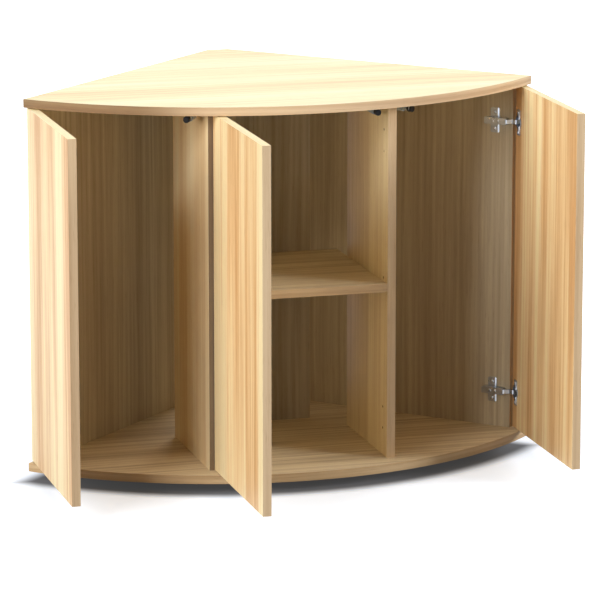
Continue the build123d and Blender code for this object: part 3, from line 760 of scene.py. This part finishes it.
def cut(piece, cutter):
    """Takes the cutter's shape out of the piece."""
    combine(piece, cutter, "DIFFERENCE")
    bpy.ops.object.shade_smooth_by_angle(angle=round_angle)


def set_out(pattern, name, places):
    """Puts a copy of a pattern at every place and joins the copies to one piece."""
    copies = [placed_copy(pattern, f"{name}_one", place) for place in places]
    discard([pattern])
    bpy.ops.object.select_all(action="DESELECT")
    for copy in copies:
        copy.select_set(True)
    bpy.context.view_layer.objects.active = copies[0]
    bpy.ops.object.join()
    copies[0].name = name
    return copies[0]


def loose_parts(name):
    """A node's separate solids, as welded objects of their own."""
    bpy.ops.object.select_all(action="DESELECT")
    whole = welded_copy(name, "measured")
    bpy.ops.object.mode_set(mode="EDIT")
    bpy.ops.mesh.select_all(action="SELECT")
    bpy.ops.mesh.separate(type="LOOSE")
    bpy.ops.object.mode_set(mode="OBJECT")
    return [whole] + [item for item in bpy.context.selected_objects if item != whole]


print("solid helpers ready")

# %% [markdown]
# ## Screws with a cross recess
#
# Every visible screw is a cross-head one. Each packed screw is a plain head on a plain shank. It is
# measured: its largest flat face is the top of the head, which gives the seat, the way it looks, and
# all the sizes. One screw of each kind is then turned with a rounded head and a ridged shank, a tapered
# cross is cut into it, and it is copied to every seat. No two screws stop at the same angle, so each
# copy is turned a little further than the last.

# %% Measure a screw
near_rim, shank_end = 0.95, 0.001


def measure_screw(solid):
    """Seat and sizes of one screw: head radius and rise, shank radius, whole length."""
    top = max(solid.data.polygons, key=lambda face: face.area)
    centre, way = top.center.copy(), top.normal.copy()
    spots = []
    for vertex in solid.data.vertices:
        depth = way.dot(vertex.co - centre)
        spots.append((depth, (vertex.co - centre - way * depth).length))
    head = max(radius for depth, radius in spots)
    rise = -min(depth for depth, radius in spots if radius > near_rim * head)
    length = -min(depth for depth, radius in spots)
    shank = max(radius for depth, radius in spots if depth < shank_end - length)
    return centre, way, (head, rise, shank, length)


print("a shank is measured in its last", shank_end, "m")

# %% Model a screw
# Ridges of the shank: their distance, and what is left of the radius between them and at the point.
ridge_pitch, valley_share, point_share = 0.0013, 0.78, 0.2
# The head: its lower rim, and rings of the dome as shares of its radius and rise.
lower_rim = 0.97
dome = ((1.0, -0.62), (0.965, -0.36), (0.86, -0.15), (0.66, -0.03), (0.42, 0))
countersunk_rise = 0.0002
# The cross, as shares of the head's radius, its greatest depth, and how far its bars narrow.
cross_width, cross_reach, cross_depth = 0.13, 0.56, 0.55
deepest_cross, cross_taper = 0.0016, 0.55


def ridged_shank(shank, start, end):
    """Rings of a pointed shank with a ridge every pitch, from its point up to its head."""
    rings = [(shank * point_share, start)]
    height = start + shank
    while height + ridge_pitch < end - ridge_pitch:
        rings += [(shank * valley_share, height), (shank, height + ridge_pitch / 2)]
        height += ridge_pitch
    return rings + [(shank, height), (shank, end)]


def cross_cutters(narrow, reach, depth):
    """Two crossed bars that taper downwards, standing in a screw head's top."""
    for length, width in ((reach, narrow), (narrow, reach)):
        bpy.ops.object.select_all(action="DESELECT")
        bpy.ops.mesh.primitive_cube_add(size=2)
        bar = bpy.context.object
        bpy.ops.object.mode_set(mode="EDIT")
        bpy.ops.transform.resize(value=(length, width, depth), center_override=(0, 0, 0))
        pick(bar, "FACE", lambda face: face.normal.z < -0.9)
        bpy.ops.transform.resize(value=(cross_taper, cross_taper, 1),
                                 center_override=(0, 0, -depth))
        bpy.ops.object.mode_set(mode="OBJECT")
        yield bar


def model_screw(name, sizes):
    """One screw with its head's top at the origin, looking along +Z."""
    head, rise, shank, length = sizes
    if rise < countersunk_rise:
        rings = ridged_shank(shank, -length, shank - head)
        rings += [(head * lower_rim, -countersunk_rise), (head, 0)]
    else:
        rings = ridged_shank(shank, -length, -rise) + [(head * lower_rim, -rise)]
        rings += [(head * wide, rise * high) for wide, high in dome]
    screw = turn(name, rings)
    depth = min(cross_depth * head, deepest_cross)
    for bar in cross_cutters(head * cross_width, head * cross_reach, depth):
        cut(screw, bar)
    return screw


print("cross:", cross_reach, "of the head's radius each way")

# %% Fit the screws
step_angle = radians(37)
screw_seats = {}


def fit_screws(name):
    """Every screw of a node as one piece; its seats under the heads are kept for later."""
    solids = loose_parts(name)
    measured = [measure_screw(solid) for solid in solids]
    screw_seats[name] = [(centre - way * sizes[1], way) for centre, way, sizes in measured]
    discard(solids)
    places = []
    for index, (centre, way, sizes) in enumerate(measured):
        facing = way.to_track_quat("Z", "Y").to_matrix().to_4x4()
        turned = Matrix.Rotation(step_angle * index, 4, "Z")
        places.append(Matrix.Translation(centre) @ facing @ turned)
    pattern = model_screw("screw_pattern", measured[0][2])
    pattern.data.materials.append(zinc_plate)
    piece = set_out(pattern, f"{name}_cross_head", places)
    stand_in(piece, name)
    return piece


screws = [fit_screws(name) for name in nodes if name.endswith("_screws")]
print("screws:", {piece.name: len(piece.data.polygons) for piece in screws})

# %% [markdown]
# ## Mounting plates
#
# The plate that carries a hinge arm is a cross: two wings with a screw each, and a block under the arm.
# The press leaves the wings' front edge curved down to the board, and that curve mirrors the bright
# room while the flat part mirrors the dark inside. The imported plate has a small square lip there. One
# plate is modelled from boxes: the wings' box is bisected near its front edge, and each new row of
# points is moved down a little more. Its holes are cut, and a copy is set on each pair of plate screws.

# %% Helpers for boxes
def box(name, size, centre):
    """A box at its size and place."""
    bpy.ops.object.select_all(action="DESELECT")
    bpy.ops.mesh.primitive_cube_add(size=1)
    piece = bpy.context.object
    piece.name = name
    bpy.ops.object.mode_set(mode="EDIT")
    bpy.ops.transform.resize(value=size, center_override=(0, 0, 0))
    bpy.ops.transform.translate(value=centre)
    bpy.ops.object.mode_set(mode="OBJECT")
    return piece


def round_corners(piece, radius, segments):
    """Rounds the edges that stand straight up from the board."""
    points = piece.data.vertices

    def upright(edge):
        start, end = (points[index].co for index in edge.vertices)
        return abs((end - start).normalized().z) > 0.99

    pick(piece, "EDGE", upright)
    bpy.ops.mesh.bevel(offset=radius, segments=segments, affect="EDGES")
    bpy.ops.object.mode_set(mode="OBJECT")


print("box helpers ready")

# %% Model a mounting plate
wing_width, wing_length, sheet = 0.018, 0.048, 0.0022
plate_pitch, plate_run, plate_arm = 0.032, 0.0314, 0.013
block_run, block_width, block_rise = 0.030, 0.0094, 0.0112
plate_corner, block_corner, plate_edge = 0.003, 0.001, 0.0003
plate_hole = 0.0018
# How far each row of the wings' front drops towards the board, by its place along the run.
wing_drops = {-0.0058: 0.0, -0.0067: 0.0003, -0.0076: 0.0008, -0.0084: 0.0014, -0.009: 0.002}
row_reach = 0.0003


def press_wings(plate):
    """Cuts rows into the wings' front and presses each one down."""
    rows = list(wing_drops)
    for row in rows[:-1]:
        bpy.ops.object.mode_set(mode="EDIT")
        bpy.ops.mesh.select_all(action="SELECT")
        bpy.ops.mesh.bisect(plane_co=(row, 0, 0), plane_no=(1, 0, 0))
        bpy.ops.object.mode_set(mode="OBJECT")
    for near, far in zip(rows, rows[1:]):
        def in_row(point):
            on_top = point.co.z > sheet / 2
            return on_top and far - row_reach < point.co.x < near - row_reach

        pick(plate, "VERT", in_row)
        bpy.ops.transform.translate(value=(0, 0, -wing_drops[far]))
        bpy.ops.object.mode_set(mode="OBJECT")


def model_plate():
    """One mounting plate: X runs into the cabinet, Y up, Z off the board."""
    plate = box("hinge_plate_pattern", (wing_width, wing_length, sheet), (0, 0, sheet / 2))
    round_corners(plate, plate_corner, 4)
    press_wings(plate)
    middle = box("plate_middle", (plate_run, plate_arm, sheet), (0, 0, sheet / 2))
    round_corners(middle, plate_corner, 4)
    block = box("plate_block", (block_run, block_width, block_rise), (0, 0, block_rise / 2))
    round_corners(block, block_corner, 3)
    for part in (middle, block):
        combine(plate, part, "UNION")
    for reach in (-plate_pitch / 2, plate_pitch / 2):
        bpy.ops.object.select_all(action="DESELECT")
        bpy.ops.mesh.primitive_cylinder_add(vertices=24, radius=plate_hole, depth=4 * sheet,
                                            location=(0, reach, 0))
        cut(plate, bpy.context.object)
    soften(plate, plate_edge)
    return plate


plate_pattern = model_plate()
print("plate faces:", len(plate_pattern.data.polygons))

# %% Fit the plates
def nearest_pair(kind, spot):
    """Of a node's screws, the two nearest a spot: the middle of their seats, and their way."""
    near, next_near = sorted(screw_seats[kind], key=lambda seat: (seat[0] - spot).length)[:2]
    return (near[0] + next_near[0]) / 2, near[1]


pivots = {joint["child"]: Vector(joint["pos_m"])
          for joint in behaviour["joints"] if joint["type"] == "hinge"}
plates = [name for name in nodes if name.endswith("_hinge_plate")]
for name in plates:
    seat, off = nearest_pair("hinge_plate_screws", middle_of(*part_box(name)))
    seat -= off * sheet
    run = off.cross(Vector((0, 0, 1)))
    away = seat - pivots[name.split("_")[0] + "_door"]
    if run.dot(Vector((away.x, away.y, 0))) < 0:
        run = -run
    facing = Matrix((run, off.cross(run), off)).transposed().to_4x4()
    plate = placed_copy(plate_pattern, f"{name}_pressed", Matrix.Translation(seat) @ facing)
    plate.data.materials.append(nickel)
    stand_in(plate, name)
discard([plate_pattern])
print("plates fitted:", len(plates))

# %% [markdown]
# ## Lips of the cups
#
# The flange round a hinge cup ends towards the door's free side in a raised, rolled lip. It stands
# square to the door, so it catches the light of the room where the flat flange mirrors the dark
# inside. It stops short in the middle, where the arm passes when the door is shut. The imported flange
# is flat. Each half of the lip is a bar with rounded edges, and a Boolean modifier welds it to the
# flange. The two screws of a cup say where the flange is.

# %% Add the lips
lip_width, lip_length, lip_rise, lip_root = 0.0018, 0.042, 0.0024, 0.0008
lip_edge = 0.0006
arm_passage = 0.013
screw_to_lip = 0.0072
free_side = Vector((0, -1, 0))


def add_lip(name):
    """Welds the two halves of a lip to one cup's flange, on the side of the door's free end."""
    seat, off = nearest_pair(name.split("_")[0] + "_cup_screws", middle_of(*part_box(name)))
    middle = seat + free_side * screw_to_lip + off * (lip_rise - lip_root) / 2
    half = (lip_length - arm_passage) / 2
    for way in (-1, 1):
        spot = middle + Vector((0, 0, way * (arm_passage + half) / 2))
        lip = box(f"{name}_lip", (lip_rise + lip_root, lip_width, half), spot)
        soften(lip, lip_edge, segments=3)
        combine(fittings[name], lip, "UNION")


cups = [name for name in nodes if name.endswith("_hinge_cup")]
for name in cups:
    add_lip(name)
print("cups with a lip:", {name: len(fittings[name].data.polygons) for name in cups})

# %% [markdown]
# ## Feet
#
# The cabinet stands on moulded glides that a peg holds in the base plate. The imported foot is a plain
# cone. The real one has a flange under the board, a waist with a rolled lip, and a hollow sole with a
# rib round it. It is turned once, from the sole's hollow up to the peg, and copied to each foot.

# %% Measure the feet
foot_spots = []
glide_solids = loose_parts("feet")
for solid in glide_solids:
    across = [point.co.x for point in solid.data.vertices]
    deep = [point.co.y for point in solid.data.vertices]
    foot_spots.append(((max(across) + min(across)) / 2, (max(deep) + min(deep)) / 2))
    flange = (max(across) - min(across)) / 2
    peg_top = max(point.co.z for point in solid.data.vertices)
discard(glide_solids)
print("feet:", len(foot_spots), "flange radius in metres:", round(flange, 4))

# %% Turn the feet
sole, peg, under = flange * 0.83, flange * 0.168, plate_low.z
sole_rings = [(0.2, 0.0014), (0.62, 0.0014), (0.68, 0.0004), (0.9, 0.0), (0.98, 0.0006),
              (1.0, 0.0016), (1.02, 0.0045), (0.97, 0.0056), (0.96, 0.0105), (1.01, 0.0125)]
flange_rings = [(flange * 0.97, 0.0155), (flange, 0.0163), (flange, under - 0.0006),
                (flange * 0.98, under)]
peg_rings = [(peg, under), (peg, peg_top - 0.001), (flange * 0.13, peg_top)]
glide = turn("glide_pattern", [(sole * share, height) for share, height in sole_rings]
             + flange_rings + peg_rings, sides=40)
glide.data.materials.append(black_moulding)
glides = set_out(glide, "feet_glides", [Matrix.Translation((x, y, 0)) for x, y in foot_spots])
stand_in(glides, "feet")
print("faces of the feet:", len(glides.data.polygons))

# %% [markdown]
# ## Cam locks
#
# The cams that draw the boards together are cast zinc, set flush in a bored hole. Casting leaves no
# sharp edge at all, so all of a cam's edges are broken, round the cross for the driver as well. The
# bevel is a narrow one, because the cross is small.

# %% Soften the cams
cam_edge = 0.00035
cams = soften_fitting("cam_locks", cam_edge)
print("cam faces:", len(cams.data.polygons))

# %% [markdown]
# ## Surround
#
# The cabinet stands in a plain white studio. A white room lights everything from all sides and leaves
# no shadow inside the cabinet, so the world here is two things in one: nearly dark as a lamp, and white
# to the camera and in whatever mirrors it. Light Path tells which kind of ray asks.

# %% Build the surround
world_fill = 0.08


def ray_kinds(tree, place):
    """One for rays from the camera, from reflections and through clear pieces, zero for others."""
    path = add_node(tree, "ShaderNodeLightPath", place).outputs
    across, up = place
    seen = math_node(tree, "MAXIMUM", (across + 200, up), path["Is Camera Ray"],
                     path["Is Glossy Ray"])
    return math_node(tree, "MAXIMUM", (across + 350, up), seen, path["Is Transmission Ray"])


world = bpy.data.worlds.new("surround")
bpy.context.scene.world = world
world.use_nodes = True
world.node_tree.nodes.clear()
white = ray_kinds(world.node_tree, (-600, 0))
strength = math_node(world.node_tree, "MULTIPLY_ADD", (-100, 0), white, 1.0 - world_fill,
                     world_fill)
surround = add_node(world.node_tree, "ShaderNodeBackground", (100, 0), Color=(1, 1, 1, 1),
                    Strength=strength)
add_node(world.node_tree, "ShaderNodeOutputWorld", (300, 0), Surface=surround.outputs[0])
print("surround lights with", world_fill, "of white")

# %% [markdown]
# ## Floor
#
# The floor has to end in the white of the surround without a line, and still hold the shadow under the
# cabinet. So its paint is dark under the plan, a painted shadow, and pale outside it, and a glow that
# only the camera and reflections see is added with the distance from the plan: a step at the edge, a
# slow rise beyond, and the rest far out. Light that bounces off the floor meets a middle grey, which
# leaves the insides dim.

# %% The distance from the plan
def past_plan(tree, place):
    """How far a spot of the floor lies outside the plates' outline; below zero under them."""
    from_middle = add_node(tree, "ShaderNodeVectorMath", (-1000, -200), operation="DISTANCE",
                           _0=place, _1=(0, bow_centre, 0)).outputs["Value"]
    past_bow = math_node(tree, "SUBTRACT", (-850, -200), from_middle, bow_radius)
    parts = add_node(tree, "ShaderNodeSeparateXYZ", (-1000, -400), Vector=place).outputs
    sideways = math_node(tree, "ABSOLUTE", (-850, -350), parts["X"])
    along_wall = math_node(tree, "ADD", (-850, -500), sideways, parts["Y"])
    past_wall = math_node(tree, "SUBTRACT", (-720, -400), along_wall, half_width)
    squared = math_node(tree, "MULTIPLY", (-720, -550), past_wall, diagonal)
    return math_node(tree, "MAXIMUM", (-720, -250), past_bow, squared)


print("plan: bow in front, two straight sides at 45 degrees behind")

# %% Build the floor
edge_start, edge_end, far_end = -0.008, 0.038, 0.3
under_glow, edge_glow, far_glow, last_glow = 0.045, 0.5, 0.2, 0.5
floor_size, speckle_scale = 40, 40.0
pale_tone, paler_tone = tone(206, 216, 232), tone(212, 221, 236)
# The dark tone under the plan is a painted shadow.
painted_shadow_tone, bounce_tone = tone(112, 112, 116), tone(124, 125, 128)


def build_floor_finish():
    """White paint with a painted shadow under the plan, and a glow that takes it to white far out."""
    material, tree, surface, place = new_material("studio_floor")
    distance = past_plan(tree, place)
    outside = ramp(tree, (-700, -150), distance, edge_start, edge_end, kind="SMOOTHSTEP")
    near = math_node(tree, "MULTIPLY_ADD", (-600, -200), outside, edge_glow - under_glow,
                     under_glow)
    far = ramp(tree, (-600, -400), distance, 0.0, far_end, 0.0, far_glow, "SMOOTHSTEP")
    last = ramp(tree, (-600, -550), distance, far_end, 5 * far_end, 0.0, last_glow)
    rising = math_node(tree, "ADD", (-400, -250), near, far)
    glow = math_node(tree, "ADD", (-300, -250), rising, last)
    seen = ray_kinds(tree, (-600, -650))
    strength = math_node(tree, "MULTIPLY", (-200, -300), glow, seen)
    speckle = add_node(tree, "ShaderNodeTexNoise", (-600, 200), Vector=place,
                       Scale=speckle_scale).outputs["Fac"]
    paint = blend(tree, (-300, 200), speckle, pale_tone, paler_tone)
    # Painted shadow: the paint is dark under the plan and pale outside it.
    shaded = blend(tree, (-200, 200), outside, painted_shadow_tone, paint)
    colour = blend(tree, (-100, 200), seen, bounce_tone, shaded)
    set_inputs(tree, surface, Base_Color=colour, Roughness=0.9, Specular_IOR_Level=0.0,
               Emission_Color=(1, 1, 1, 1), Emission_Strength=strength)
    return material


bpy.ops.mesh.primitive_plane_add(size=floor_size, location=(0, 0, 0))
floor = bpy.context.object
floor.name = "studio_floor"
floor.data.materials.append(build_floor_finish())
print("floor:", floor.name)

# %% [markdown]
# ## Lamps
#
# Four square soft lamps stand round the cabinet, all turned to its middle. The side lamp, high on the
# left and in front, does most of the work, as a window would: it leaves the insides dim and lets the
# doors' left faces glow. The front lamp on the right lights the faces that look that way, and a weak
# one above is for the top plate. The back lamp lights the rear for whoever looks from behind, and is
# kept out of reflections. All stay at a plain level, where a colour comes out about as it was written.

# %% Lamps
lamp_plan = {"side_lamp": ((-4.15, -2.65, 2.2), 2.8, 278),
             "top_lamp": ((-0.2, 0.15, 3.4), 1.8, 36),
             "front_lamp": ((4.0, -2.5, 1.9), 1.4, 170),
             "back_lamp": ((1.6, 4.0, 2.2), 2.4, 80)}
cabinet_middle = middle_of(*cad_box)


def add_lamp(name, place, size, watts):
    """A square soft lamp that faces the middle of the cabinet."""
    data = bpy.data.lights.new(name, "AREA")
    data.shape = "SQUARE"
    data.size = size
    data.energy = watts
    lamp = bpy.data.objects.new(name, data)
    bpy.context.scene.collection.objects.link(lamp)
    lamp.location = place
    lamp.rotation_euler = (cabinet_middle - Vector(place)).to_track_quat("-Z", "Y").to_euler()
    return lamp


lamps = {name: add_lamp(name, *plan) for name, plan in lamp_plan.items()}
lamps["back_lamp"].visible_glossy = False
print("lamps in watts:", {name: lamp.data.energy for name, lamp in lamps.items()})

# %% [markdown]
# ## Camera
#
# A long lens far away keeps the upright boards nearly parallel, as in a catalogue. The camera stands a
# little left of the front and looks down on the top plate.

# %% Camera
camera_place = (-1.966, -7.059, 1.946)
looks_down, turns_right = 12.52, 15.83
lens, sensor_width = 238.4, 36
camera_data = bpy.data.cameras.new("camera")
camera_data.sensor_width = sensor_width
camera_data.lens = lens
camera_data.clip_end = 60
camera = bpy.data.objects.new("camera", camera_data)
bpy.context.scene.collection.objects.link(camera)
camera.location = camera_place
camera.rotation_euler = (radians(90 - looks_down), 0, radians(-turns_right))
bpy.context.scene.camera = camera
bpy.context.scene.view_settings.view_transform = "Standard"
print("camera:", camera_place, lens, "mm")
